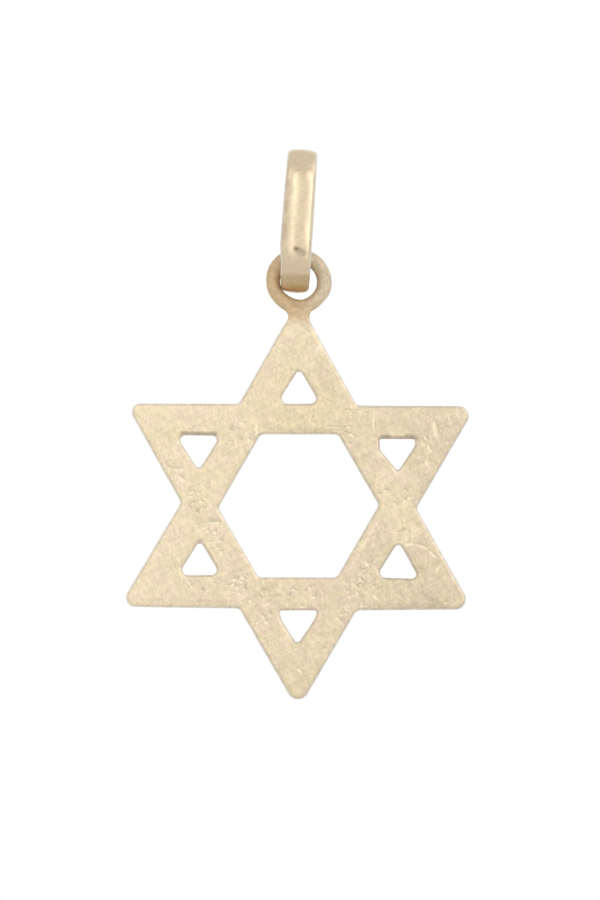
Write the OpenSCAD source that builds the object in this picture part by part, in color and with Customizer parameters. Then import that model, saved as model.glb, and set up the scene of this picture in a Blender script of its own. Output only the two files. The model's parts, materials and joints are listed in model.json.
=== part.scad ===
// A six-pointed star pendant, pierced from flat sheet, that hangs by a soldered eye from a band bail.
// Millimetres, +Z up, front towards -Y. The origin is the seat inside the top of the bail, where a
// chain lies.

/* [Star] */
// Centre of the star to the sharp tip of a point, before wear
star_r = 11; // [9:0.5:14]
// Thickness of the plate
plate_t = 0.85; // [0.84:0.01:1.2]
// Width of the bars round the centre opening
bar_w = 1.66; // [1.3:0.02:2]
// Width of the bars round the hole in each point
point_bar_w = 1.74; // [1.5:0.02:2]
// Radius that wear has put on the points
point_rad = 0.54; // [0.2:0.02:0.8]
// Radius in the notches between the points
notch_rad = 0.35; // [0.1:0.05:0.6]
// Corner radius of the centre opening
opening_rad = 0.35; // [0.1:0.05:0.6]
// Turn of the centre opening against the star, in degrees
opening_turn = 0.45; // [-1:0.05:1]
// Corner radius of the small holes
hole_rad = 0.28; // [0.1:0.02:0.32]

/* [Eye] */
// Thickness of the eye's wire
eye_wire = 0.76; // [0.5:0.02:0.8]
// Room between the eye's hole and the edges of the band that it swings round
eye_play = 0.03; // [0.03:0.01:0.3]
// How far the eye is let into the sharp tip of the top point
eye_sink = 0.62; // [0.3:0.02:0.7]
// How far the eye is soldered to the left of the star's middle
eye_aside = 0.1; // [0:0.01:0.15]
// Radius of the solder fillet on the left of the neck
left_solder_rad = 0.4; // [0.3:0.02:1]
// Radius of the solder fillet on the right of the neck
right_solder_rad = 0.64; // [0.3:0.02:1]
// Thickness of the solder between the fillets
solder_t = 0.74; // [0.4:0.02:0.76]

/* [Bail] */
// Height of the bail over all, along its own length
bail_h = 7.76; // [6.5:0.1:10]
// Width of the band where it is widest
bail_w = 1.74; // [1.4:0.02:2.2]
// Thickness of the band at its crown
bail_t = 0.86; // [0.7:0.02:1.1]
// Height of the band's straight sides, below the crown
bail_side = 0.4; // [0.2:0.02:0.6]
// Roundness of the crown, 2 for an ellipse and more for a flatter top
crown_power = 2.8; // [2:0.1:4]
// Radius that breaks the band's inner edges
bail_edge = 0.08; // [0.04:0.01:0.15]
// Radius inside the top bend, where the chain passes
top_bend_r = 1.1; // [0.9:0.05:1.4]
// How far the foot reaches below the centre of the eye
foot_drop = 0.61; // [0.45:0.02:0.75]
// How far the foot stands to the left of the centre of the eye
foot_aside = 0.12; // [0:0.01:0.2]
// Room between the eye's wire and the inside of the foot's bend
bend_play = 0.25; // [0.15:0.01:0.4]
// Lean of the bail to the right, in degrees
bail_lean = 3.4; // [0:0.1:5]

/* [Hidden] */

POINTS = 6;
STEP = 360 / POINTS;
CORNER_STEPS = 8;
BEND_STEPS = 18;
LIMB_STEPS = 8;
CROWN_STEPS = 10;
OVERRUN = 1;

// The hand-cut outline, from the top point anticlockwise. Each row moves the tip of a point, and then
// the notch after it, sideways and outwards by shares of bar_w, and gives the tip's radius as a share
// of point_rad.
TIP_ASIDE = 0;
TIP_OUT = 1;
TIP_WEAR = 2;
NOTCH_ASIDE = 3;
NOTCH_OUT = 4;
star_cuts = [
    [-0.06,  0.07, 0.60, -0.04,  0.02],
    [ 0.03, -0.10, 0.85,  0.09, -0.02],
    [ 0.03,  0.05, 0.95, -0.04,  0.01],
    [-0.05,  0.00, 1.10,  0.02,  0.05],
    [ 0.00, -0.03, 1.05,  0.03,  0.01],
    [ 0.02,  0.00, 1.00, -0.02, -0.04],
];

// The sides of the centre opening, from the top side anticlockwise: how far each one was filed in, as
// shares of bar_w
side_filed_in = [-0.02, 0.09, 0.04, 0, 0.07, 0.03];

// The hand-pierced holes, from the top point anticlockwise. Each row moves the left corner, the peak
// and the right corner of a hole sideways and outwards by shares of bar_w, then gives their radii as
// shares of hole_rad.
LEFT_ASIDE = 0;
LEFT_OUT = 1;
PEAK_ASIDE = 2;
PEAK_OUT = 3;
RIGHT_ASIDE = 4;
RIGHT_OUT = 5;
LEFT_RAD = 6;
PEAK_RAD = 7;
RIGHT_RAD = 8;
hole_cuts = [
    [-0.01,  0.01, -0.01, -0.05, -0.03,  0.02, 1.15, 0.70, 1.05],
    [ 0.06,  0.06, -0.03,  0.07, -0.02,  0.03, 0.70, 1.05, 0.90],
    [ 0.00, -0.02, -0.03, -0.02, -0.09,  0.01, 1.05, 1.05, 0.75],
    [-0.05,  0.06, -0.01, -0.02,  0.00,  0.08, 1.20, 0.70, 1.15],
    [ 0.02,  0.07,  0.04,  0.06,  0.01,  0.03, 0.85, 0.85, 1.05],
    [-0.03, -0.18,  0.04, -0.03, -0.09,  0.06, 1.45, 1.00, 0.50],
];

// Sections of the bail from its foot to its top: share of bail_h, width as a share of bail_w, and how
// far the middle of the band is bent aside, as a share of bail_w
AT_HEIGHT = 0;
WIDTH = 1;
ASIDE = 2;
bail_sections = [
    [0.00, 0.81, 0.08],
    [0.05, 0.85, 0.08],
    [0.12, 0.90, 0.065],
    [0.22, 0.94, 0.035],
    [0.32, 1.00, 0.00],
    [0.45, 1.00, 0.00],
    [0.70, 0.97, 0.00],
    [0.90, 0.93, 0.00],
    [1.00, 0.92, 0.00],
];
// Row of the section that the eye is round when the star is swung level
LEVEL = 3;
// Share of the crown's height up to which the band keeps nearly its full width
SHOULDER = 0.25;

// Middle of the band at a section, sideways from the seat
foot_end = bail_h - bail_t;
function band_x(section) =
    bail_w * section[ASIDE] - (foot_end - bail_h * section[AT_HEIGHT]) * sin(bail_lean);

// Eye: its hole clears the inner edges and the shoulders of the band when the star is swung level
eye_x = band_x(bail_sections[0]) + foot_aside;
level_reach = bail_w * bail_sections[LEVEL][WIDTH] / 2 + abs(eye_x - band_x(bail_sections[LEVEL]));
inner_edge = bail_t - foot_drop;
shoulder = bail_side + SHOULDER * (bail_t - bail_side) - inner_edge;
eye_hole_r = norm([level_reach, max(inner_edge, shoulder)]) + eye_play;
eye_ring_r = eye_hole_r + eye_wire / 2;
eye_outer_r = eye_hole_r + eye_wire;

// Bail, measured down its own length from the seat
foot_bend_r = (eye_wire + eye_hole_r + foot_drop - bail_t + bend_play) / 2;
hinge_down = foot_end - bail_t - foot_bend_r;
bend_gap = hinge_down - top_bend_r;
limb_slope = asin((top_bend_r - foot_bend_r) / bend_gap);

// Places in the pendant's frame
eye_z = -foot_end * cos(bail_lean) + foot_drop;
eye_rise = star_r - eye_sink + eye_outer_r;
star_x = eye_x + eye_aside;
star_z = eye_z - eye_rise;

function unit(v) = v / norm(v);
function turned(p, a) = [p[0] * cos(a) - p[1] * sin(a), p[0] * sin(a) + p[1] * cos(a)];
function column(table, key, value) = [for (row = table) [row[key], row[value]]];

// Points along the arc round a middle, from one radius vector to another
function arc(middle, from, to) =
    let (sweep = acos(unit(from) * unit(to)))
    [for (i = [0 : CORNER_STEPS])
        let (t = sweep * i / CORNER_STEPS)
        middle + (from * sin(sweep - t) + to * sin(t)) / sin(sweep)];

// The arc of radius r that rounds corner b of a path from a through b to c
function rounded_corner(a, b, c, r) =
    let (
        u = unit(a - b),
        v = unit(c - b),
        half = acos(u * v) / 2,
        middle = b + unit(u + v) * r / sin(half)
    )
    arc(middle, b + u * r / tan(half) - middle, b + v * r / tan(half) - middle);

// A closed path with each corner rounded to its own radius
function rounded_path(corners, radii) =
    let (n = len(corners))
    [for (i = [0 : n - 1])
        each rounded_corner(corners[(i + n - 1) % n], corners[i], corners[(i + 1) % n], radii[i])];

// Outline of the star: tip, notch, tip, round from the top point
function star_tip(i) =
    turned([bar_w * star_cuts[i][TIP_ASIDE], star_r + bar_w * star_cuts[i][TIP_OUT]], i * STEP);
function star_notch(i) =
    turned([bar_w * star_cuts[i][NOTCH_ASIDE], star_r / sqrt(3) + bar_w * star_cuts[i][NOTCH_OUT]],
        (i + 0.5) * STEP);
function star_corners() = [for (i = [0 : POINTS - 1]) each [star_tip(i), star_notch(i)]];
function star_radii() = [for (cut = star_cuts) each [point_rad * cut[TIP_WEAR], notch_rad]];

// Corners of the centre opening, where two neighbouring sides meet
function opening_corners() =
    [for (i = [0 : POINTS - 1])
        let (
            side_a = star_r / 2 - bar_w * (1 + side_filed_in[i]),
            side_b = star_r / 2 - bar_w * (1 + side_filed_in[(i + 1) % POINTS])
        )
        turned([(side_a * cos(STEP) - side_b) / sin(STEP), side_a], i * STEP + opening_turn)];

// Corners of the hole in a point, with the point upwards
function hole_corners(cut) =
    let (
        base = star_r / 2,
        peak = star_r - 2 * point_bar_w,
        half = (peak - base) * tan(STEP / 2)
    )
    [
        [-half + bar_w * cut[LEFT_ASIDE], base + bar_w * cut[LEFT_OUT]],
        [bar_w * cut[PEAK_ASIDE], peak + bar_w * cut[PEAK_OUT]],
        [half + bar_w * cut[RIGHT_ASIDE], base + bar_w * cut[RIGHT_OUT]]
    ];
function hole_radii(cut) = hole_rad * [cut[LEFT_RAD], cut[PEAK_RAD], cut[RIGHT_RAD]];

// The solder fillet between the eye's outside and one side of the top point, from the eye down. The
// side runs from the tip to a notch, and hand is 1 for the right side and -1 for the left one.
function fillet(notch, hand, rad) =
    let (
        eye = [-eye_aside, eye_rise],
        tip = star_tip(0),
        down = unit(notch - tip),
        out = hand * [-down[1], down[0]],
        start = tip + rad * out - eye,
        reach = -start * down + sqrt(pow(start * down, 2) - start * start + pow(eye_outer_r + rad, 2)),
        middle = tip + rad * out + reach * down
    )
    arc(middle, rad * unit(eye - middle), -rad * out);
function web_path() =
    let (
        right = fillet(star_notch(POINTS - 1), 1, right_solder_rad),
        left = fillet(star_notch(0), -1, left_solder_rad)
    )
    concat([[-eye_aside, eye_rise]], right, [for (i = [len(left) - 1 : -1 : 0]) left[i]]);

module upright(thickness) {
    rotate([90, 0, 0]) linear_extrude(height = thickness, center = true) children();
}

module plate() {
    difference() {
        upright(plate_t) polygon(rounded_path(star_corners(), star_radii()));
        upright(plate_t + OVERRUN)
            polygon(rounded_path(opening_corners(), [for (i = [1 : POINTS]) opening_rad]));
        for (i = [0 : POINTS - 1])
            rotate([0, -i * STEP, 0]) upright(plate_t + OVERRUN)
                polygon(rounded_path(hole_corners(hole_cuts[i]), hole_radii(hole_cuts[i])));
    }
}

module eye() {
    rotate([90, 0, 0]) rotate_extrude($fn = 72)
        translate([eye_ring_r, 0]) circle(d = eye_wire, $fn = 36);
}

module solder_web() {
    difference() {
        upright(solder_t) polygon(web_path());
        translate([-eye_aside, 0, eye_rise]) rotate([90, 0, 0])
            cylinder(r = eye_ring_r, h = solder_t + OVERRUN, center = true, $fn = 72);
    }
}

module star() {
    color([0.91, 0.84, 0.71]) {
        translate([star_x, 0, star_z]) {
            plate();
            solder_web();
        }
        translate([eye_x, 0, eye_z]) eye();
    }
}

// The band's section, as [across in shares of the width, outwards in mm]: flat inside, crowned outside
function band_section(width) =
    let (
        crown = bail_t - bail_side,
        edge = bail_edge / width
    )
    concat(
        [[0.5 - edge, 0], [0.5, bail_edge]],
        [for (i = [0 : CROWN_STEPS])
            let (t = 180 * i / CROWN_STEPS)
            [0.5 * sign(cos(t)) * pow(abs(cos(t)), 2 / crown_power),
             bail_side + crown * pow(abs(sin(t)), 2 / crown_power)]],
        [[-0.5, bail_edge], [-0.5 + edge, 0], [0, 0]]
    );

// Stations round the inside of the bail, each [y, z, direction that the band's outside faces], with 0
// upwards and 90 to the front: top bend, front limb, foot bend, back limb
function bend(z, r, from, to) =
    [for (i = [0 : BEND_STEPS])
        let (a = from + (to - from) * i / BEND_STEPS)
        [-r * sin(a), z + r * cos(a), a]];
function limb(from, to) = [for (i = [1 : LIMB_STEPS - 1]) from + (to - from) * i / LIMB_STEPS];
function bail_stations() =
    let (
        side = 90 + limb_slope,
        top = bend(-top_bend_r, top_bend_r, -side, side),
        foot = bend(-hinge_down, foot_bend_r, side, 360 - side),
        back = [top[0][0], top[0][1], 360 - side]
    )
    concat(top, limb(top[BEND_STEPS], foot[0]), foot, limb(foot[BEND_STEPS], back));

function bail_ring(station) =
    let (
        middle = station[1] + bail_t / 2 * cos(station[2]),
        height = (middle + foot_end - bail_t / 2) / (bail_h - bail_t),
        width = bail_w * lookup(height, column(bail_sections, AT_HEIGHT, WIDTH)),
        aside = bail_w * lookup(height, column(bail_sections, AT_HEIGHT, ASIDE))
    )
    [for (p = band_section(width)) [
        p[0] * width + aside,
        station[0] - p[1] * sin(station[2]),
        station[1] + p[1] * cos(station[2])
    ]];

module bail() {
    rings = [for (station = bail_stations()) bail_ring(station)];
    n = len(rings);
    m = len(rings[0]);
    faces = [for (i = [0 : n - 1], j = [0 : m - 1])
        let (
            a = i * m + j,
            b = i * m + (j + 1) % m,
            c = ((i + 1) % n) * m + (j + 1) % m,
            d = ((i + 1) % n) * m + j
        )
        each [[a, b, c], [a, c, d]]];
    color([0.86, 0.77, 0.62]) rotate([0, bail_lean, 0])
        polyhedron(points = [for (ring = rings) each ring], faces = faces);
}

star();
bail();
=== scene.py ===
import json
import math
import random

import bpy
from mathutils import Matrix, Vector

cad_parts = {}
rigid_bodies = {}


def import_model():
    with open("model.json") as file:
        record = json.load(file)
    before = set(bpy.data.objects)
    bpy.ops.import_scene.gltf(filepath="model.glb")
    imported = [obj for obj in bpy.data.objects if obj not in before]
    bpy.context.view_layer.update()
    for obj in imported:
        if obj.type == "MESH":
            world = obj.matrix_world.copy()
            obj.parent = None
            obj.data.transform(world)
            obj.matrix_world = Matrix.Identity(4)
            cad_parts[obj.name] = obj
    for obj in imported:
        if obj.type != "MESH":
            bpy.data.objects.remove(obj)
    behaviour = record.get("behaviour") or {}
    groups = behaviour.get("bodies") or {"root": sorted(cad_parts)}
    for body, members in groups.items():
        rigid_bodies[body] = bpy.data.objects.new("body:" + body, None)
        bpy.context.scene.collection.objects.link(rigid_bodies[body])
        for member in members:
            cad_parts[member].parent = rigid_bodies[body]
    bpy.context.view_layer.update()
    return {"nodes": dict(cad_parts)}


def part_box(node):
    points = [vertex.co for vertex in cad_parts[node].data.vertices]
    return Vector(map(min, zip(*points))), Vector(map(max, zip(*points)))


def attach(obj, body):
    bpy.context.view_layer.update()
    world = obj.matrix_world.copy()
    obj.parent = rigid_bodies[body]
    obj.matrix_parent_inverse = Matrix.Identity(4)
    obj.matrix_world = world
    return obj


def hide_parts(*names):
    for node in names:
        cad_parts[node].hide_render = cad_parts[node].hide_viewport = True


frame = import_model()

mm = 0.001
hair = 1e-6  # a thousandth of a millimetre, to tell places apart
sliver = 1e-7  # finer still, for cuts
starLow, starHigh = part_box("star")
print("frame loaded:", sorted(frame["nodes"]))


# small helpers for working by hand

def deselectAll():
    if bpy.context.object and bpy.context.object.mode != "OBJECT":
        bpy.ops.object.mode_set(mode="OBJECT")
    bpy.ops.object.select_all(action="DESELECT")


def workOn(piece):  # the only selected object, and the active one
    deselectAll()
    piece.select_set(True)
    bpy.context.view_layer.objects.active = piece


def openEdit(piece):  # edit mode with nothing selected
    workOn(piece)
    bpy.ops.object.mode_set(mode="EDIT")
    bpy.ops.mesh.select_mode(type="VERT")
    bpy.ops.mesh.select_all(action="DESELECT")


def closeEdit():
    bpy.ops.object.mode_set(mode="OBJECT")


def pickVerts(piece, wanted):  # selects by place, from edit mode
    bpy.ops.mesh.select_all(action="DESELECT")
    bpy.ops.object.mode_set(mode="OBJECT")
    for vert in piece.data.vertices:
        vert.select = wanted(vert.co)
    bpy.ops.object.mode_set(mode="EDIT")


def applyModifier(piece, kind, **settings):
    workOn(piece)
    modifier = piece.modifiers.new(kind.lower(), kind)
    for key, value in settings.items():
        setattr(modifier, key, value)
    bpy.ops.object.modifier_apply(modifier=modifier.name)


def joinInto(piece, *others):
    workOn(piece)
    for other in others:
        other.select_set(True)
    bpy.ops.object.join()


def placeInMesh(piece):  # turn and scale go into the mesh
    workOn(piece)
    bpy.ops.object.transform_apply(location=True, rotation=True, scale=True)


def combine(piece, tool, how):  # union or difference with a tool, which is used up
    applyModifier(piece, "BOOLEAN", object=tool, operation=how, solver="MANIFOLD")
    bpy.data.objects.remove(tool)


def roughen(piece, name, size, height):  # slow unevenness left by hammer, file and wear
    texture = bpy.data.textures.new(name, "CLOUDS")
    texture.noise_scale = size
    texture.noise_depth = 2
    applyModifier(piece, "DISPLACE", texture=texture, texture_coords="LOCAL", strength=height, mid_level=0.5)


# star: a sheet with pierced openings and worn edges, and a hand-bent eye soldered on its top point

starShape = {
    "cutBelow": -8.80 * mm,
    "topOver": 0.30 * mm,
    "topShare": 0.46,
    "topMiddle": -0.025 * mm,
    "topFlat": 0.93,  # thinner there, so that the solder runs onto it without a step
    "mergeWithin": 0.015 * mm,
    "flatWithin": 0.5,  # in degrees, as all angles are
    "edgeAngle": 50,
    "edgeRound": 0.17 * mm,
    "edgeSteps": 6,
    "gridStep": 0.45 * mm,
    "waveSize": 2.6 * mm,
    "waveHeight": 0.022 * mm,
    "smoothAngle": 42,
    "smoothWeight": 60,
}
eyeShape = {
    "wire": 0.80 * mm,
    "flat": 0.78,  # hammered a little flat, front to back
    "ring": 1.36 * mm,
    "ringSteps": 96,
    "wireSteps": 32,
    "middle": (-0.12 * mm, 0, -6.278 * mm),
    "stretch": 1.030,  # longer from upper left to lower right
    "squeeze": 0.985,
    "stretchTurn": 45,
    "cutBelow": 1.36 * mm,  # the plate's own copy of the eye goes, from here up
    "neckEnd": 2.09 * mm,  # under the eye's middle, where the solder ends in a step
    "neckLap": 0.30 * mm,
    "neckNarrow": 0.95,
    "neckThin": 0.006 * mm,
    "neckRound": 0.05 * mm,
    "neckSteps": 3,
    "voxel": 0.045 * mm,
    "meltShare": 0.5,  # the solder runs smooth, most where ring and neck meet
    "meltBelow": 0.35 * mm,
    "meltAbove": 0.45 * mm,
    "meltJoint": 16,
    "meltAll": 4,
    "dentSpot": 0.2 * mm,
    "waveSize": 0.9 * mm,
    "waveHeight": 0.03 * mm,
}

# these tables and the nicks' sizes are in mm

eyeDents = (  # filed in at the right, worn by the bail's foot at the left: place, push and reach
    (1.10, -7.66, -0.07, 0.03, 1.00),
    (1.62, -5.30, -0.05, 0.00, 0.80),
    (-1.05, -6.40, -0.055, 0.00, 0.62),
)
sharperCorners = (  # corners of the openings that were filed out: place, reach, share of the round kept
    (4.300, -14.730, 0.48, 0.30),
    (6.225, -14.725, 0.31, 0.50),
    (-1.007, -24.034, 0.44, 0.40),
    (1.042, -24.005, 0.44, 0.40),
)
starMarks = (  # gouges and nicks in the front: from and to, across and up, then width and depth
    (7.22, -13.74, 7.40, -14.68, 0.24, 0.019),
    (6.60, -14.86, 6.71, -15.07, 0.21, 0.014),
    (6.91, -15.04, 7.02, -15.38, 0.20, 0.014),
    (6.72, -14.56, 6.84, -14.78, 0.13, 0.013),
    (6.79, -15.76, 7.05, -16.37, 0.11, 0.009),
    (4.22, -17.73, 4.38, -17.73, 0.12, 0.013),
    (4.60, -17.51, 4.71, -17.51, 0.10, 0.013),
    (2.53, -14.99, 2.74, -15.05, 0.10, 0.015),
    (2.57, -14.08, 2.71, -14.13, 0.16, 0.017),
    (2.74, -14.45, 2.85, -14.56, 0.14, 0.017),
    (2.36, -14.35, 2.68, -14.48, 0.06, 0.008),
    (2.46, -13.21, 3.27, -13.26, 0.07, 0.008),
    (4.00, -13.25, 4.01, -14.44, 0.08, 0.007),
    (-2.29, -13.80, -2.33, -14.55, 0.12, 0.010),
    (-2.54, -15.09, -2.44, -15.20, 0.16, 0.017),
    (0.73, -13.23, 0.47, -13.93, 0.07, 0.008),
    (-5.04, -19.32, -3.96, -19.31, 0.07, 0.008),
    (3.61, -21.30, 3.78, -21.66, 0.13, 0.012),
    (4.10, -21.50, 4.32, -22.04, 0.11, 0.009),
    (4.25, -21.07, 3.99, -21.62, 0.09, 0.011),
    (3.93, -21.51, 4.10, -21.61, 0.14, 0.015),
    (3.34, -21.73, 3.77, -21.89, 0.06, 0.008),
    (5.76, -20.41, 6.20, -20.36, 0.15, 0.011),
    (6.34, -20.38, 6.88, -20.60, 0.16, 0.013),
    (7.00, -20.70, 7.50, -21.18, 0.15, 0.012),
    (7.63, -21.46, 7.38, -21.98, 0.18, 0.012),
    (6.47, -21.76, 6.58, -21.75, 0.12, 0.014),
    (7.89, -23.52, 8.05, -23.52, 0.15, 0.013),
    (4.06, -23.13, 4.27, -23.39, 0.18, 0.013),
    (3.36, -23.56, 3.47, -23.56, 0.09, 0.014),
    (3.36, -23.72, 3.47, -23.72, 0.11, 0.013),
    (2.02, -24.33, 2.51, -24.81, 0.07, 0.008),
    (1.33, -26.12, 1.60, -26.11, 0.20, 0.013),
    (0.05, -27.15, 0.21, -27.37, 0.14, 0.014),
    (0.64, -27.53, 0.75, -27.52, 0.10, 0.013),
    (0.12, -23.81, 0.29, -23.81, 0.12, 0.012),
    (-1.49, -23.30, -1.41, -23.30, 0.09, 0.017),
    (-0.84, -24.95, -0.57, -25.16, 0.14, 0.014),
    (-3.23, -23.10, -3.13, -23.16, 0.16, 0.013),
    (-2.62, -23.52, -2.54, -23.55, 0.15, 0.013),
    (-1.62, -23.62, -1.54, -23.70, 0.13, 0.012),
    (-1.78, -24.62, -1.70, -24.70, 0.16, 0.013),
    (-0.28, -22.88, -0.20, -22.94, 0.13, 0.012),
    (-0.42, -11.14, -0.26, -11.14, 0.12, 0.012),
    (1.02, -9.67, 1.19, -9.94, 0.20, 0.017),
)
starFlecks = (  # clusters of small nicks: place across and up, spread each way, count
    (-3.34, -22.70, 0.55, 0.50, 20),
    (-1.90, -23.25, 0.75, 0.40, 18),
    (-5.50, -18.20, 0.45, 0.60, 14),
    (-4.40, -20.30, 0.55, 0.60, 12),
    (3.60, -22.25, 0.45, 0.55, 12),
    (3.00, -22.80, 0.42, 0.38, 10),
    (-5.10, -22.80, 0.90, 0.40, 10),
    (2.20, -24.60, 0.45, 0.45, 8),
    (-1.90, -24.50, 0.35, 0.45, 7),
    (5.55, -17.85, 0.50, 0.40, 7),
    (5.75, -20.05, 0.50, 0.35, 6),
    (0.90, -12.20, 0.90, 0.60, 6),
    (0.00, -22.95, 1.00, 0.35, 8),
    (-6.60, -17.00, 0.60, 0.80, 8),
    (-3.00, -14.40, 0.80, 0.70, 8),
)
fleckShape = {
    "seed": 7,
    "reach": (0.01, 0.04),
    "width": (0.08, 0.15),
    "depth": (0.009, 0.014),
    "apart": 0.24,
    "clear": 0.2,
    "clearSides": 6,
}
punchShape = {
    "mark": (20, 0.25),  # steps round the punch, and the share of its half height that goes in
    "fleck": (15, 0.5),
    "batches": 3,  # neighbours in the list may touch, so they are punched apart
    "depthOver": 1.1,
}


def onFlat(star, x, z):  # clear of edges and marks all round
    sides = fleckShape["clearSides"]
    for step in range(sides):
        away = Vector((fleckShape["clear"], 0))
        away.rotate(Matrix.Rotation(math.radians(360 / sides * step), 2))
        origin = Vector(((x + away.x) * mm, starLow.y - 1 * mm, (z + away.y) * mm))
        hit, spot = star.ray_cast(origin, Vector((0, 1, 0)))[:2]
        if not hit or spot.y > starLow.y + hair:
            return False
    return True


def scatterFlecks(star):
    chance = random.Random(fleckShape["seed"])
    middles = [Vector(mark[0:2]).lerp(Vector(mark[2:4]), 0.5) for mark in starMarks]
    flecks = []
    for across, up, wide, high, count in starFlecks:
        for number in range(count):
            middle = Vector((across + chance.uniform(-wide, wide), up + chance.uniform(-high, high)))
            reach = Vector((chance.uniform(*fleckShape["reach"]), 0))
            reach.rotate(Matrix.Rotation(chance.uniform(0, math.pi), 2))
            width = chance.uniform(*fleckShape["width"])
            depth = chance.uniform(*fleckShape["depth"])
            free = all((middle - other).length > fleckShape["apart"] for other in middles)
            if free and onFlat(star, *middle):
                middles.append(middle)
                flecks.append((*(middle - reach), *(middle + reach), width, depth))
    return tuple(flecks)


def copyStar(name):  # left in edit mode, its loose triangles joined up
    node = frame["nodes"]["star"]
    workOn(node)
    bpy.ops.object.duplicate()
    piece = bpy.context.object
    bpy.ops.object.parent_clear(type="CLEAR_KEEP_TRANSFORM")
    piece.name = name
    for key in list(piece.keys()):
        del piece[key]
    piece.data.materials.clear()
    openEdit(piece)
    bpy.ops.mesh.select_all(action="SELECT")
    bpy.ops.mesh.remove_doubles(threshold=starShape["mergeWithin"])
    bpy.ops.mesh.dissolve_limited(angle_limit=math.radians(starShape["flatWithin"]))
    return piece


def cutAcross(height, keepBelow):  # level cut in edit mode, closed over
    bpy.ops.mesh.select_all(action="SELECT")
    bpy.ops.mesh.bisect(
        plane_co=(0, 0, height), plane_no=(0, 0, 1), use_fill=True, clear_outer=keepBelow,
        clear_inner=not keepBelow, threshold=sliver)


def makePlate(top):
    plate = copyStar("starBody")

    for x, z, reach, share in sharperCorners:
        corner = Vector((x * mm, 0, z * mm))
        pickVerts(plate, lambda co: math.hypot(co.x - corner.x, co.z - corner.z) < reach * mm)
        bpy.ops.transform.resize(value=(share, 1, share), center_override=corner)

    # its point carries on straight, without the eye, and ends where the solder starts
    below = starShape["cutBelow"]
    above = top + starShape["topOver"]
    cutAcross(below, True)
    pickVerts(plate, lambda co: co.z > below - hair)
    bpy.ops.mesh.extrude_region_move(TRANSFORM_OT_translate={"value": (0, 0, above - below)})
    bpy.ops.transform.resize(
        value=(starShape["topShare"], starShape["topFlat"], 1),
        center_override=(starShape["topMiddle"], 0, above))
    bpy.ops.mesh.select_all(action="SELECT")
    bpy.ops.mesh.normals_make_consistent(inside=False)
    closeEdit()
    applyModifier(
        plate, "BEVEL", width=starShape["edgeRound"], segments=starShape["edgeSteps"], limit_method="ANGLE",
        angle_limit=math.radians(starShape["edgeAngle"]), use_clamp_overlap=False, loop_slide=False)
    openEdit(plate)
    cutAcross(top, True)

    # a grid over the faces, so that they can be uneven
    step = starShape["gridStep"]
    for axis, low, high in ((0, starLow.x, starHigh.x), (2, starLow.z, top)):
        normal = [0, 0, 0]
        normal[axis] = 1
        for number in range(1, int((high - low) / step)):
            place = [0, 0, 0]
            place[axis] = low + number * step
            bpy.ops.mesh.select_all(action="SELECT")
            bpy.ops.mesh.bisect(plane_co=place, plane_no=normal, threshold=sliver)
    closeEdit()
    return plate


def makeNeck(top, joint):
    neck = copyStar("neck")
    cutAcross(joint, True)
    cutAcross(top - eyeShape["neckLap"], False)
    bpy.ops.mesh.select_all(action="SELECT")
    bpy.ops.transform.resize(
        value=(eyeShape["neckNarrow"], 1, 1), center_override=(starShape["topMiddle"], 0, top))
    closeEdit()
    applyModifier(neck, "DISPLACE", strength=-eyeShape["neckThin"], mid_level=0)
    applyModifier(
        neck, "BEVEL", width=eyeShape["neckRound"], segments=eyeShape["neckSteps"], limit_method="ANGLE",
        angle_limit=math.radians(starShape["edgeAngle"]))
    return neck


def makeRing():
    deselectAll()
    bpy.ops.mesh.primitive_torus_add(
        rotation=(math.radians(90), 0, 0), major_segments=eyeShape["ringSteps"],
        minor_segments=eyeShape["wireSteps"], major_radius=eyeShape["ring"],
        minor_radius=eyeShape["wire"] / 2)
    ring = bpy.context.object
    placeInMesh(ring)
    ring.rotation_euler.y = math.radians(eyeShape["stretchTurn"])
    ring.scale = (eyeShape["stretch"], eyeShape["flat"], eyeShape["squeeze"])
    ring.location = eyeShape["middle"]
    placeInMesh(ring)
    return ring


def makeEye(top, joint):
    neck = makeNeck(top, joint)
    eye = makeRing()
    joinInto(eye, neck)
    applyModifier(eye, "REMESH", mode="VOXEL", voxel_size=eyeShape["voxel"])
    openEdit(eye)
    pickVerts(eye, lambda co: joint - eyeShape["meltBelow"] < co.z < joint + eyeShape["meltAbove"])
    bpy.ops.mesh.vertices_smooth(factor=eyeShape["meltShare"], repeat=eyeShape["meltJoint"])
    bpy.ops.mesh.select_all(action="SELECT")
    bpy.ops.mesh.vertices_smooth(factor=eyeShape["meltShare"], repeat=eyeShape["meltAll"])
    for x, z, across, up, reach in eyeDents:
        pickVerts(eye, lambda co: math.hypot(co.x - x * mm, co.z - z * mm) < eyeShape["dentSpot"])
        bpy.ops.transform.translate(
            value=(across * mm, 0, up * mm), use_proportional_edit=True, proportional_edit_falloff="SMOOTH",
            proportional_size=reach * mm)
    closeEdit()
    roughen(eye, "eyeWave", eyeShape["waveSize"], eyeShape["waveHeight"])
    return eye


def punchFor(marks, front, steps, share):  # long rounded punches, one for each mark, as one tool
    spread = math.sqrt(1 - (1 - share) ** 2)
    punches = []
    for x1, z1, x2, z2, width, depth in marks:
        deselectAll()
        bpy.ops.mesh.primitive_uv_sphere_add(segments=steps, ring_count=steps * 3 // 5, radius=1)
        punch = bpy.context.object
        half = math.hypot(x2 - x1, z2 - z1) / 2 + width / 4
        punch.scale = (width / 2 / spread * mm, depth / share * mm, half / spread * mm)
        punch.rotation_euler.y = math.atan2(x1 - x2, z1 - z2)
        punch.location = ((x1 + x2) / 2 * mm, front - (1 - share) * depth / share * mm, (z1 + z2) / 2 * mm)
        placeInMesh(punch)
        punches.append(punch)
    joinInto(*punches)
    return bpy.context.object


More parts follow.
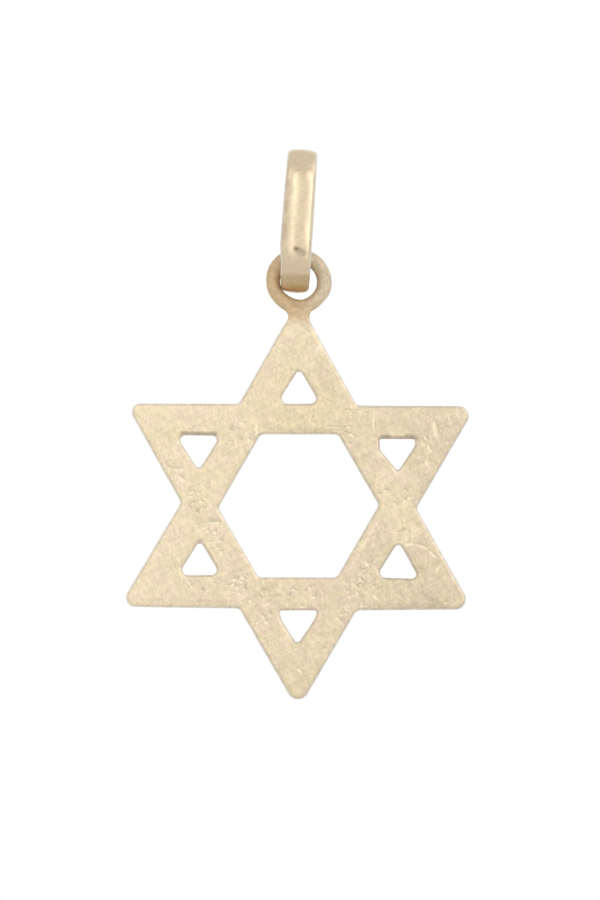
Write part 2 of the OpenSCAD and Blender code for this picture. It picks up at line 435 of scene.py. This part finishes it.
def noteBareGleam(star, marks, front):  # the marks' floors are bare metal with a painted highlight: kept with the mesh for the material
    bareGleam = star.data.attributes.new("bareGleam", "FLOAT", "POINT")
    deepest = max(depth for *ends, width, depth in marks) * mm
    for vert in star.data.vertices:
        if front + hair < vert.co.y < front + deepest * punchShape["depthOver"]:
            here = Vector((vert.co.x, vert.co.z)) / mm
            for x1, z1, x2, z2, width, depth in marks:
                way = Vector((x2 - x1, z2 - z1))
                along = (here - Vector((x1, z1))).dot(way) / way.length_squared
                nearest = Vector((x1, z1)) + way * min(1, max(0, along))
                if (here - nearest).length < width / 2:
                    bareGleam.data[vert.index].value = 1


def keepWhole(piece):  # chips that the cuts leave loose go
    openEdit(piece)
    lowest = min(vert.co.z for vert in piece.data.vertices)
    pickVerts(piece, lambda co: co.z < lowest + sliver)
    bpy.ops.mesh.select_linked()
    bpy.ops.mesh.select_all(action="INVERT")
    bpy.ops.mesh.delete(type="VERT")
    closeEdit()


def makeStar():
    top = eyeShape["middle"][2] - eyeShape["neckEnd"]
    joint = eyeShape["middle"][2] - eyeShape["cutBelow"]
    star = makePlate(top)
    print("plate made:", len(star.data.polygons), "faces")
    eye = makeEye(top, joint)
    print("eye made:", len(eye.data.polygons), "faces")
    combine(star, eye, "UNION")
    for start in range(punchShape["batches"]):
        batch = starMarks[start::punchShape["batches"]]
        combine(star, punchFor(batch, starLow.y, *punchShape["mark"]), "DIFFERENCE")
    flecks = scatterFlecks(star)
    combine(star, punchFor(flecks, starLow.y, *punchShape["fleck"]), "DIFFERENCE")
    print("nicks cut:", len(starMarks) + len(flecks))
    keepWhole(star)
    noteBareGleam(star, starMarks + flecks, starLow.y)
    roughen(star, "starWave", starShape["waveSize"], starShape["waveHeight"])
    star.data.materials.clear()
    workOn(star)
    bpy.ops.object.shade_smooth_by_angle(angle=math.radians(starShape["smoothAngle"]))
    applyModifier(star, "WEIGHTED_NORMAL", weight=starShape["smoothWeight"], keep_sharp=True)
    return star


star = makeStar()
print("star made:", len(star.data.polygons), "faces")


# bail: a crowned band, bent round into a closed drop and soldered shut

bailShape = {
    "width": 1.71 * mm,
    "thick": 0.86 * mm,
    "shoulder": 0.21 * mm,
    "shoulderSteps": 6,
    "innerEdge": 0.08 * mm,
    "innerSteps": 2,
    "roundness": 0.5,
    "crownRise": 0.09 * mm,
    "crownReach": 0.96,
    "crownCuts": 7,
    "topBend": 1.1 * mm,
    "footBend": 0.87123 * mm,
    "footDown": 5.16877 * mm,
    "lean": 3.6,
    "aside": -0.02 * mm,
    "bendSteps": 22,
    "limbSteps": 14,
    "finish": 2,  # rounds of smoothing
    "waveSize": 1.1 * mm,
    "waveHeight": 0.020 * mm,
}
bailRows = (  # from the foot up, at even heights: width share, sideways share, depth share
    (0.82, 0.066, 0.84),
    (0.90, 0.042, 0.89),
    (0.93, 0.040, 0.95),
    (0.99, 0.006, 1.00),
    (1.00, 0.000, 1.00),
    (0.99, 0.000, 1.00),
    (0.98, 0.000, 1.00),
    (0.97, 0.000, 1.00),
    (0.95, 0.000, 1.00),
    (0.93, 0.000, 1.00),
    (0.92, 0.000, 1.00),
)
bailPits = (  # place across and up, floor radius, reach, depth
    (-0.280, -4.57, 0.05, 0.14, 0.022),
    (-0.140, -4.66, 0.06, 0.22, 0.012),
    (0.000, -4.76, 0.06, 0.22, 0.010),
)


def turnBand(angle, down, steps):  # bends the open end on round a pin at this height
    bpy.ops.mesh.spin(steps=steps, angle=-angle, center=(0, 0, -down), axis=(1, 0, 0))


def runBand(way, steps):  # carries the open end straight on
    for _ in range(steps):
        bpy.ops.mesh.extrude_region_move(TRANSFORM_OT_translate={"value": way / steps})


def bandSection():  # flat inside, crown up, with soft shoulders
    shape = bailShape
    flatThick = shape["thick"] - shape["crownRise"]
    deselectAll()
    bpy.ops.mesh.primitive_plane_add(
        size=1, rotation=(math.radians(90), 0, 0), location=(0, 0, flatThick / 2))
    band = bpy.context.object
    band.name = "bailBand"
    band.scale = (shape["width"], flatThick, 1)
    placeInMesh(band)

    openEdit(band)
    pickVerts(band, lambda co: co.z > flatThick / 2)
    bpy.ops.mesh.bevel(
        affect="VERTICES", offset=shape["shoulder"], segments=shape["shoulderSteps"],
        profile=shape["roundness"])
    pickVerts(band, lambda co: co.z < flatThick / 4)
    bpy.ops.mesh.bevel(
        affect="VERTICES", offset=shape["innerEdge"], segments=shape["innerSteps"],
        profile=shape["roundness"])
    bpy.ops.mesh.select_all(action="SELECT")
    bpy.ops.mesh.delete(type="ONLY_FACE")
    pickVerts(band, lambda co: co.z > flatThick - hair or co.z < hair)
    bpy.ops.mesh.subdivide(number_cuts=shape["crownCuts"])
    pickVerts(band, lambda co: co.z > flatThick - hair and abs(co.x) < hair)
    bpy.ops.transform.translate(
        value=(0, 0, shape["crownRise"]), use_proportional_edit=True,
        proportional_edit_falloff="INVERSE_SQUARE", proportional_size=flatThick * shape["crownReach"])
    closeEdit()
    return band


def bendBand(band):  # round the loop: top bend, front limb, foot bend, back limb, top bend
    shape = bailShape
    fall = shape["footDown"] - shape["topBend"]
    slope = math.asin((shape["topBend"] - shape["footBend"]) / fall)
    limb = fall * math.cos(slope)
    inward = Vector((0, math.sin(slope), -math.cos(slope))) * limb
    outward = Vector((0, math.sin(slope), math.cos(slope))) * limb
    openEdit(band)
    bpy.ops.mesh.select_all(action="SELECT")
    turnBand(math.pi / 2 + slope, shape["topBend"], shape["bendSteps"])
    runBand(inward, shape["limbSteps"])
    turnBand(math.pi - 2 * slope, shape["footDown"], 2 * shape["bendSteps"])
    runBand(outward, shape["limbSteps"])
    turnBand(math.pi / 2 + slope, shape["topBend"], shape["bendSteps"])
    bpy.ops.mesh.select_all(action="SELECT")
    bpy.ops.mesh.remove_doubles(threshold=hair)
    bpy.ops.mesh.normals_make_consistent(inside=False)
    closeEdit()


def fileBand(band):  # by hand: the foot is narrower and stands a little to the right
    deselectAll()
    high = bailShape["thick"]
    low = -(bailShape["footDown"] + bailShape["footBend"] + bailShape["thick"])
    bpy.ops.object.add(type="LATTICE", location=(0, 0, (high + low) / 2))
    cage = bpy.context.object
    cage.scale = (2 * bailShape["width"], 6 * bailShape["width"], high - low)
    cage.data.points_u = 2
    cage.data.points_v = 2
    cage.data.points_w = len(bailRows)
    cage.data.interpolation_type_w = "KEY_CARDINAL"
    for number, point in enumerate(cage.data.points):
        share, aside, deep = bailRows[number // 4]
        point.co_deform.x = point.co.x * share + aside / 2
        point.co_deform.y = point.co.y * deep
    applyModifier(band, "LATTICE", object=cage)
    bpy.data.objects.remove(cage)


def pitBand(band):  # solder pits on the front limb
    openEdit(band)
    for across, up, floor, reach, depth in bailPits:
        pickVerts(band, lambda co: co.y < 0 and math.hypot(co.x - across * mm, co.z - up * mm) < floor * mm)
        bpy.ops.transform.translate(
            value=(0, depth * mm, 0), use_proportional_edit=True, proportional_edit_falloff="SMOOTH",
            proportional_size=reach * mm, use_proportional_connected=True)
    closeEdit()


def makeBail():
    bail = bandSection()
    bendBand(bail)
    fileBand(bail)
    applyModifier(bail, "SUBSURF", levels=bailShape["finish"])
    bail.rotation_euler.y = math.radians(bailShape["lean"])
    bail.location.x = bailShape["aside"]
    placeInMesh(bail)
    pitBand(bail)
    roughen(bail, "bailWave", bailShape["waveSize"], bailShape["waveHeight"])
    workOn(bail)
    bpy.ops.object.shade_smooth()
    return bail


bail = makeBail()
print("bail made:", len(bail.data.polygons), "faces")


# gold: worn, mottled in warm and greenish patches, specked, finely scratched, stained in places, with painted
# shade, highlights and sheen

starGoldLook = {
    "warm": (0.885, 0.735, 0.538),
    "green": (0.860, 0.738, 0.503),
    "patchSize": 0.70 * mm,
    "mottleSize": 0.20 * mm,
    "mottle": 0.05,
    "streak": 0.09,
    "speck": 0.20,
    "scratchGlow": 0.05,
    "bareGleamStrength": 0.20,
    "rough": (0.34, 0.44),
    "metallic": 1.0,
    "grainHeight": 0.0014 * mm,
    "scratchHeight": 0.0028 * mm,
    "scratches": (  # turn, gap, share of length
        (8, 0.20 * mm, 0.08),
        (68, 0.17 * mm, 0.10),
        (97, 0.15 * mm, 0.07),
        (128, 0.19 * mm, 0.10),
    ),
    "fade": (-0.0076 / mm, 0, 0.0014 / mm),  # painted light falloff: darker towards the lower right
    "fadeMiddle": -18.4 * mm,
    "edgeSheenNormal": ("Y", 0.96, 0.60, 0.30, 0.05),  # painted sheen: paler where the face turns over into the side
    "edgeSheenTone": (0.920, 0.850, 0.740),
    "edgeRough": 0.05,
    "dimZone": (-8.66 * mm, -8.10 * mm),  # painted shade: the wire and solder are painted darker and duller, browner at lower left
    "dimMiddle": (-0.12 * mm, 0, -6.278 * mm),
    "dimWay": (1.0, 0, 0.5),
    "dimSpread": 0.9 * mm,
    "dimBrown": (0.735, 0.555, 0.335),
    "dimPale": (0.760, 0.645, 0.465),
    "dimRough": 0.70,
    "dimMetallic": 0.60,
    "yellowed": (0.2 * mm, -13.4 * mm, 3.2 * mm, 0.6),  # place, reach and share of the tarnish on the top bar
    "yellowTone": (0.870, 0.735, 0.480),
}
starStainsAndPaintedLight = (  # in mm: from and to, across and up, then width and strength; below zero is brighter
    # painted shade along the top edges of the openings under the top bar, where they face down
    (4.42, -14.56, 4.84, -14.56, 0.22, 0.20),
    (5.76, -14.52, 6.10, -14.52, 0.22, 0.20),
    (4.35, -14.66, 6.30, -14.64, 0.26, 0.20),
    (-6.34, -14.52, -4.52, -14.53, 0.29, 0.32),
    # painted highlight along an edge on the lower right
    (4.24, -19.13, 2.80, -21.68, 0.22, -0.10),
    # painted shade along the top edge of the middle opening
    (-1.60, -14.26, 1.95, -14.28, 0.24, 0.08),
    # painted shade along the down-facing lower edges of the side arms
    (6.95, -23.05, 7.40, -23.50, 0.60, 0.10),
    (3.90, -23.66, 8.20, -23.70, 0.26, 0.06),
    (-8.40, -23.50, -3.60, -23.55, 0.22, 0.06),
    # painted light falloff: a broad lighter patch on the right arm
    (5.10, -17.00, 5.60, -19.60, 2.40, -0.07),
    # painted shade in the apexes of the two lower openings
    (5.36, -20.14, 5.52, -20.14, 0.18, 0.14),
    (-5.50, -20.34, -5.16, -20.22, 0.22, 0.16),
    # painted highlights on the eye and the neck
    (0.76, -7.16, 0.80, -7.12, 0.50, -0.14),
    (-0.46, -7.86, -0.34, -7.82, 0.26, -0.16),
    (-1.30, -6.20, -1.20, -6.50, 0.26, 0.14),
    # painted shade along the shaded sides of the scratches
    (3.34, -21.78, 4.04, -21.51, 0.10, 0.18),
    (2.46, -13.12, 3.09, -13.39, 0.10, 0.15),
    (1.56, -14.03, 2.46, -14.07, 0.10, 0.16),
    (2.47, -14.34, 3.10, -14.56, 0.10, 0.15),
    (3.55, -21.95, 3.72, -21.88, 0.12, 0.26),
    (3.22, -22.58, 3.32, -22.50, 0.12, 0.22),
    # painted light falloff: a broad darker patch at the lower right
    (4.60, -21.00, 6.90, -22.60, 2.60, 0.025),
)
bailGoldLook = {
    "warm": (0.880, 0.710, 0.505),
    "green": (0.875, 0.735, 0.495),
    "patchSize": 0.7 * mm,
    "mottleSize": 0.17 * mm,
    "mottle": 0.05,
    "streak": 0.04,
    "speck": 0.03,
    "scratchGlow": 0.02,
    "bareGleamStrength": 0.0,
    "rough": (0.20, 0.27),
    "metallic": 1.0,
    "grainHeight": 0.0003 * mm,
    "scratchHeight": 0.0010 * mm,
    "scratches": (
        (86, 0.16 * mm, 0.06),
        (4, 0.18 * mm, 0.10),
    ),
    "fade": (0, 0, 0),
    "fadeMiddle": 0,
    # painted sheen: paler towards the band's sides
    "edgeSheenNormal": ("X", 0.50, 0.85, 0.94, 0.99),
    "edgeSheenTone": (0.790, 0.735, 0.655),
    "edgeRough": 0.12,
    "dimZone": (-5.82 * mm, -6.06 * mm),  # painted shade: the foot is painted browner and darker where the band turns under
    "dimMiddle": (0, 0, 0),
    "dimWay": (0, 0, 1.0),
    "dimSpread": 1.0 * mm,
    "dimBrown": (0.665, 0.510, 0.305),
    "dimPale": (0.665, 0.510, 0.305),
    "dimRough": 0.34,
    "dimMetallic": 1.0,
    "yellowed": (-0.30 * mm, -5.75 * mm, 1.2 * mm, 0.9),
    "yellowTone": (0.858, 0.672, 0.464),
}
bailFace = {  # where the front limb's face runs
    "out": -1.94 * mm,
    "leanIn": 0.056,
    "crownFall": 2.5 * mm,
}
bailShadeAndHighlights = (
    # painted shade in the solder pits on the front limb
    (-0.31, -4.56, -0.25, -4.58, 0.24, 0.30),
    (-0.22, -4.63, 0.05, -4.80, 0.44, 0.30),
    # painted shade over the front limb's lower middle, where the highlight streak fades
    (-0.42, -3.05, -0.46, -4.20, 0.60, 0.09),
    # painted shade along the band's darker left strip
    (-0.80, -1.00, -0.81, -1.25, 0.26, 0.09),
    (-0.82, -2.05, -0.85, -2.50, 0.30, 0.12),
    (-0.90, -3.35, -0.94, -3.95, 0.38, 0.12),
    # painted shade at the front limb's lower right
    (0.34, -4.25, 0.30, -4.75, 0.50, 0.09),
    # painted highlight on the left of the foot
    (-0.92, -6.15, -0.90, -6.55, 0.36, -0.22),
)


goldGrain = {  # for both pieces: sizes as shares of the mottling's, and in brackets where the noise bites
    "patches": (0.40, 0.60),
    "dull": (1.4, (0.32, 0.68)),
    "yellowCore": 0.4,
    "mottle": ((0.28, 0.72), 0.6),
    "speck": (0.55, (0.64, 0.75)),
    "pit": (0.60, (0.235, 0.20), 1.2),
    "scratch": (0.64, 0.72),
    "streak": (17, 0.8, 2, (0.38, 0.66)),  # against the scratches: turn, gap, length, bite
    "ragged": (0.09 * mm, 0.24),  # strokes' edges: size of the frays, share of the stroke's width
    "strokeFade": (0.55, 0.2),
    "grainSize": 0.08 * mm,
}


def goldMaterial(name, look, stainsAndPaintedLight, front):
    material = bpy.data.materials.new(name)
    material.use_nodes = True
    tree = material.node_tree
    nodes, links = tree.nodes, tree.links
    shader = nodes["Principled BSDF"]
    whereabouts = nodes.new("ShaderNodeTexCoord")
    place = whereabouts.outputs["Object"]

    def put(socket, value):
        if hasattr(value, "is_linked"):
            links.new(value, socket)
        else:
            socket.default_value = value

    def noise(size, detail=3.0, where=place):
        node = nodes.new("ShaderNodeTexNoise")
        node.inputs["Scale"].default_value = 1 / size
        node.inputs["Detail"].default_value = detail
        links.new(where, node.inputs["Vector"])
        return node.outputs["Fac"]

    def spread(value, low, high, toLow=0.0, toHigh=1.0):
        node = nodes.new("ShaderNodeMapRange")
        put(node.inputs["Value"], value)
        for key, number in (("From Min", low), ("From Max", high), ("To Min", toLow), ("To Max", toHigh)):
            node.inputs[key].default_value = number
        return node.outputs["Result"]

    def work(kind, a, b):
        node = nodes.new("ShaderNodeMath")
        node.operation = kind
        put(node.inputs[0], a)
        put(node.inputs[1], b)
        return node.outputs["Value"]

    def arrow(kind, a, b, outlet="Vector"):  # vector arithmetic
        node = nodes.new("ShaderNodeVectorMath")
        node.operation = kind
        put(node.inputs[0], a)
        put(node.inputs["Scale" if kind == "SCALE" else 1], b)
        return node.outputs[outlet]

    def mixed(share, a, b):
        node = nodes.new("ShaderNodeMix")
        node.data_type = "RGBA"
        put(node.inputs["Factor"], share)
        put(node.inputs[6], a)
        put(node.inputs[7], b)
        return node.outputs[2]

    def strokes(turn, gap, share, low, high):  # noise drawn out one way
        turned = nodes.new("ShaderNodeMapping")
        turned.inputs["Rotation"].default_value = (0, math.radians(turn), 0)
        links.new(place, turned.inputs["Vector"])
        drawn = nodes.new("ShaderNodeMapping")
        drawn.inputs["Scale"].default_value = (share, 1, 1)
        links.new(turned.outputs["Vector"], drawn.inputs["Vector"])
        return spread(noise(gap, 2.0, drawn.outputs["Vector"]), low, high)

    def paintStroke(x1, z1, x2, z2, width):  # soft stroke from one place to another
        start = Vector((x1 * mm, front(x1 * mm, z1 * mm), z1 * mm))
        way = Vector((x2 * mm, front(x2 * mm, z2 * mm), z2 * mm)) - start
        reach = arrow("SUBTRACT", place, start)
        along = spread(arrow("DOT_PRODUCT", reach, way, "Value"), 0, way.length_squared)
        off = arrow("SUBTRACT", reach, arrow("SCALE", way, along))
        far = arrow("LENGTH", off, (0, 0, 0), "Value")
        far = work("ADD", far, work("MULTIPLY", ragged, width * goldGrain["ragged"][1] * mm))
        outer, inner = goldGrain["strokeFade"]
        return spread(far, width * outer * mm, width * inner * mm)

    def part(vector, axis):
        node = nodes.new("ShaderNodeSeparateXYZ")
        links.new(vector, node.inputs["Vector"])
        return node.outputs[axis]

    # tone: patches, tarnish, painted shade on the eye and the bail's foot, painted sheen along the edges
    low, high = look["rough"]
    patches = spread(noise(look["patchSize"], 2.0), *goldGrain["patches"])
    tone = mixed(patches, (*look["warm"], 1), (*look["green"], 1))
    x, z, reach, most = look["yellowed"]
    far = arrow("LENGTH", arrow("SUBTRACT", place, (x, front(x, z), z)), (0, 0, 0), "Value")
    yellowed = spread(far, reach, reach * goldGrain["yellowCore"], 0.0, most)
    tone = mixed(yellowed, tone, (*look["yellowTone"], 1))
    size, bite = goldGrain["dull"]
    rough = spread(noise(look["mottleSize"] * size, 3.0), *bite, low, high)
    # painted shade: the eye and the bail's foot are painted darker, browner to one side
    dimmed = spread(part(place, "Z"), *look["dimZone"])
    side = arrow("DOT_PRODUCT", arrow("SUBTRACT", place, look["dimMiddle"]), look["dimWay"], "Value")
    browner = spread(side, look["dimSpread"], -look["dimSpread"])
    tone = mixed(dimmed, tone, mixed(browner, (*look["dimPale"], 1), (*look["dimBrown"], 1)))
    rough = work("ADD", rough, work("MULTIPLY", dimmed, look["dimRough"] - high))
    # painted sheen along the edges, picked by the surface normal
    axis, faceOn, turned, turnedMore, sideOn = look["edgeSheenNormal"]
    facing = work("ABSOLUTE", part(whereabouts.outputs["Normal"], axis), 0.0)
    edgeSheen = work("MULTIPLY", spread(facing, faceOn, turned), spread(facing, sideOn, turnedMore))
    edgeSheen = work("MULTIPLY", edgeSheen, work("SUBTRACT", 1.0, dimmed))
    tone = mixed(edgeSheen, tone, (*look["edgeSheenTone"], 1))
    rough = work("ADD", rough, work("MULTIPLY", edgeSheen, look["edgeRough"]))
    dulled = work("MULTIPLY", dimmed, look["metallic"] - look["dimMetallic"])
    links.new(work("SUBTRACT", look["metallic"], dulled), shader.inputs["Metallic"])

    # light and dark: mottling, strokes, specks with painted glints, bare metal in the marks with a painted
    # gleam, stains, painted shade and highlights
    bite, rise = goldGrain["mottle"]
    light = spread(noise(look["mottleSize"], 4.0), *bite, 1 - look["mottle"], 1 + look["mottle"] * rise)
    ragged = work("SUBTRACT", noise(goldGrain["ragged"][0]), 0.5)
    scratches = 0.0
    aside, closer, longer, bite = goldGrain["streak"]
    for turn, gap, share in look["scratches"]:
        scratches = work("MAXIMUM", scratches, strokes(turn, gap, share, *goldGrain["scratch"]))
        softly = work("MULTIPLY", strokes(turn + aside, gap * closer, share * longer, *bite), look["streak"])
        light = work("MULTIPLY", light, work("ADD", 1 - look["streak"] / 2, softly))
    light = work("ADD", light, work("MULTIPLY", scratches, look["scratchGlow"]))
    # painted glints: bright specks where small dings catch the light
    size, bite = goldGrain["speck"]
    specks = spread(noise(look["mottleSize"] * size, 1.0), *bite)
    light = work("ADD", light, work("MULTIPLY", specks, look["speck"]))
    size, bite, depth = goldGrain["pit"]
    pits = spread(noise(look["mottleSize"] * size, 1.0), *bite)
    light = work("SUBTRACT", light, work("MULTIPLY", pits, look["speck"] * depth))
    bareGleam = nodes.new("ShaderNodeAttribute")
    bareGleam.attribute_name = "bareGleam"
    # painted highlight on the bare metal in the marks
    light = work("ADD", light, work("MULTIPLY", bareGleam.outputs["Fac"], look["bareGleamStrength"]))
    # painted light falloff, darker towards the lower right
    reach = arrow("SUBTRACT", place, (0, 0, look["fadeMiddle"]))
    light = work("ADD", light, arrow("DOT_PRODUCT", reach, look["fade"], "Value"))
    for x1, z1, x2, z2, width, strength in stainsAndPaintedLight:
        light = work("SUBTRACT", light, work("MULTIPLY", paintStroke(x1, z1, x2, z2, width), strength))
    links.new(arrow("SCALE", tone, light), shader.inputs["Base Color"])
    links.new(rough, shader.inputs["Roughness"])

    # fine relief
    grain = work("MULTIPLY", noise(goldGrain["grainSize"], 2.0), look["grainHeight"])
    relief = work("SUBTRACT", grain, work("MULTIPLY", scratches, look["scratchHeight"]))
    bump = nodes.new("ShaderNodeBump")
    bump.inputs["Distance"].default_value = 1.0
    links.new(relief, bump.inputs["Height"])
    links.new(bump.outputs["Normal"], shader.inputs["Normal"])
    return material


def starFront(x, z):
    return starLow.y


def bailFront(x, z):  # the front limb leans, leans in, and its crown falls off to the sides
    below = z + bailShape["footDown"]
    if below < 0:
        return -math.sqrt((bailShape["footBend"] + bailShape["thick"]) ** 2 - below ** 2)
    off = (x - z * math.sin(math.radians(bailShape["lean"]))) / bailShape["width"]
    out = bailFace["out"] - (z + bailShape["topBend"]) * bailFace["leanIn"]
    return out + bailFace["crownFall"] * off ** 4


star.data.materials.append(goldMaterial("wornStarGold", starGoldLook, starStainsAndPaintedLight, starFront))
bail.data.materials.append(goldMaterial("wornBailGold", bailGoldLook, bailShadeAndHighlights, bailFront))
print("gold laid on")

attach(star, "star")
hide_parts("star")
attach(bail, "bail")
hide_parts("bail")


# camera: square on, through a long lens

photoFrame = {
    "pixels": (600, 900),
    "pixelsPerMm": 18.54,
    "aim": (0.020 * mm, 0, -15.367 * mm),
    "roll": -0.516,
    "lens": 300,
    "sensor": 36,
    "sees": (0.01, 20),
}


def makeCamera():
    frameHigh = photoFrame["pixels"][1] / photoFrame["pixelsPerMm"] * mm
    distance = frameHigh * photoFrame["lens"] / photoFrame["sensor"]
    data = bpy.data.cameras.new("photoCamera")
    data.lens = photoFrame["lens"]
    data.sensor_width = photoFrame["sensor"]
    data.clip_start, data.clip_end = photoFrame["sees"]
    camera = bpy.data.objects.new("photoCamera", data)
    bpy.context.scene.collection.objects.link(camera)
    camera.location = Vector(photoFrame["aim"]) - Vector((0, distance, 0))
    camera.rotation_euler = (math.radians(90), math.radians(photoFrame["roll"]), 0)
    bpy.context.scene.camera = camera


makeCamera()


# studio: pale floor, a soft light overhead, a pale room with soft bright panels in front

studioLook = {
    "floorDrop": 32 * mm,
    "floorSize": 0.5,
    "floorTone": 0.87,
    "floorRough": 0.9,
    "topLight": ((0, -0.10, 0.60), 0.7, 0.06),  # place, size, brightness
    "roomUp": (  # share of the way up, brightness
        (0.0, 0.42),
        (0.10, 0.48),
        (0.22, 0.70),
        (0.5, 0.76),
        (0.86, 0.70),
        (0.97, 0.68),
    ),
    "roomBehind": 0.74,
    "behindFrom": (0.0, 0.7),
}
softPanels = (  # from and to sideways, from and to upwards, soft edges each way, in degrees, then brightness
    (-5, 20, -14, 28, 3, 7, 0.09),
    (-14.5, -4.5, -12, 40, 2.5, 6, 0.85),
    (20, 42, -12, 40, 3, 6, 0.95),
    (44, 105, 24, 60, 14, 12, 0.45),
    (-48, -22, 18, 50, 8, 8, 0.30),
    (115, 195, -25, 35, 12, 12, 0.20),
    (-195, -115, -25, 35, 12, 12, 0.20),
    (35, 100, -60, 0, 12, 12, 0.12),
    (-100, -35, -60, 0, 12, 12, 0.08),
)


def makeFloor():
    deselectAll()
    floorHigh = starLow.z - studioLook["floorDrop"]
    bpy.ops.mesh.primitive_plane_add(size=studioLook["floorSize"], location=(0, 0, floorHigh))
    floor = bpy.context.object
    floor.name = "floor"
    paper = bpy.data.materials.new("palePaper")
    paper.use_nodes = True
    shader = paper.node_tree.nodes["Principled BSDF"]
    shader.inputs["Base Color"].default_value = (*[studioLook["floorTone"]] * 3, 1)
    shader.inputs["Roughness"].default_value = studioLook["floorRough"]
    floor.data.materials.append(paper)


def makeTopLight():
    place, size, glow = studioLook["topLight"]
    data = bpy.data.lights.new("topLight", "AREA")
    data.size = size
    data.energy = glow * math.pi * size ** 2
    light = bpy.data.objects.new("topLight", data)
    bpy.context.scene.collection.objects.link(light)
    light.location = place
    light.rotation_euler = (-light.location).to_track_quat("-Z", "Y").to_euler()
    light.visible_camera = False


def makeRoom():
    world = bpy.data.worlds.new("paleRoom")
    bpy.context.scene.world = world
    world.use_nodes = True
    nodes, links = world.node_tree.nodes, world.node_tree.links

    def work(kind, a, b=0.0):
        node = nodes.new("ShaderNodeMath")
        node.operation = kind
        for socket, value in zip(node.inputs, (a, b)):
            if isinstance(value, (int, float)):
                socket.default_value = value
            else:
                links.new(value, socket)
        return node.outputs["Value"]

    def rise(value, low, high):
        node = nodes.new("ShaderNodeMapRange")
        node.interpolation_type = "SMOOTHSTEP"
        node.inputs["From Min"].default_value = low
        node.inputs["From Max"].default_value = high
        links.new(value, node.inputs["Value"])
        return node.outputs["Result"]

    def between(value, low, high, soft):
        return work("MULTIPLY", rise(value, low - soft, low + soft), rise(value, high + soft, high - soft))

    way = nodes.new("ShaderNodeSeparateXYZ")
    links.new(nodes.new("ShaderNodeTexCoord").outputs["Generated"], way.inputs["Vector"])
    sideways = work("DEGREES", work("ARCTAN2", way.outputs["X"], work("MULTIPLY", way.outputs["Y"], -1.0)))
    upwards = work("DEGREES", work("ARCSINE", way.outputs["Z"]))

    ramp = nodes.new("ShaderNodeValToRGB")
    stops = ramp.color_ramp.elements
    for spot, tone in studioLook["roomUp"][2:]:
        stops.new(spot)
    for stop, (spot, tone) in zip(stops, studioLook["roomUp"]):
        stop.position = spot
        stop.color = (tone, tone, tone, 1)
    links.new(work("ADD", work("MULTIPLY", way.outputs["Z"], 0.5), 0.5), ramp.inputs["Fac"])
    room = nodes.new("ShaderNodeMix")
    links.new(rise(way.outputs["Y"], *studioLook["behindFrom"]), room.inputs["Factor"])
    links.new(ramp.outputs["Color"], room.inputs["A"])
    room.inputs["B"].default_value = studioLook["roomBehind"]
    glow = room.outputs["Result"]
    for left, right, low, high, softAcross, softUp, strength in softPanels:
        across = between(sideways, left, right, softAcross)
        panel = work("MULTIPLY", across, between(upwards, low, high, softUp))
        glow = work("ADD", glow, work("MULTIPLY", panel, strength))

    seen = nodes["Background"]
    seen.inputs["Color"].default_value = (1, 1, 1, 1)
    felt = nodes.new("ShaderNodeBackground")
    felt.inputs["Color"].default_value = (1, 1, 1, 1)
    links.new(glow, felt.inputs["Strength"])
    choice = nodes.new("ShaderNodeMixShader")
    links.new(nodes.new("ShaderNodeLightPath").outputs["Is Camera Ray"], choice.inputs["Fac"])
    links.new(felt.outputs["Background"], choice.inputs[1])
    links.new(seen.outputs["Background"], choice.inputs[2])
    links.new(choice.outputs["Shader"], nodes["World Output"].inputs["Surface"])
    bpy.context.scene.view_settings.view_transform = "Standard"


makeFloor()
makeTopLight()
makeRoom()
print("studio lit")
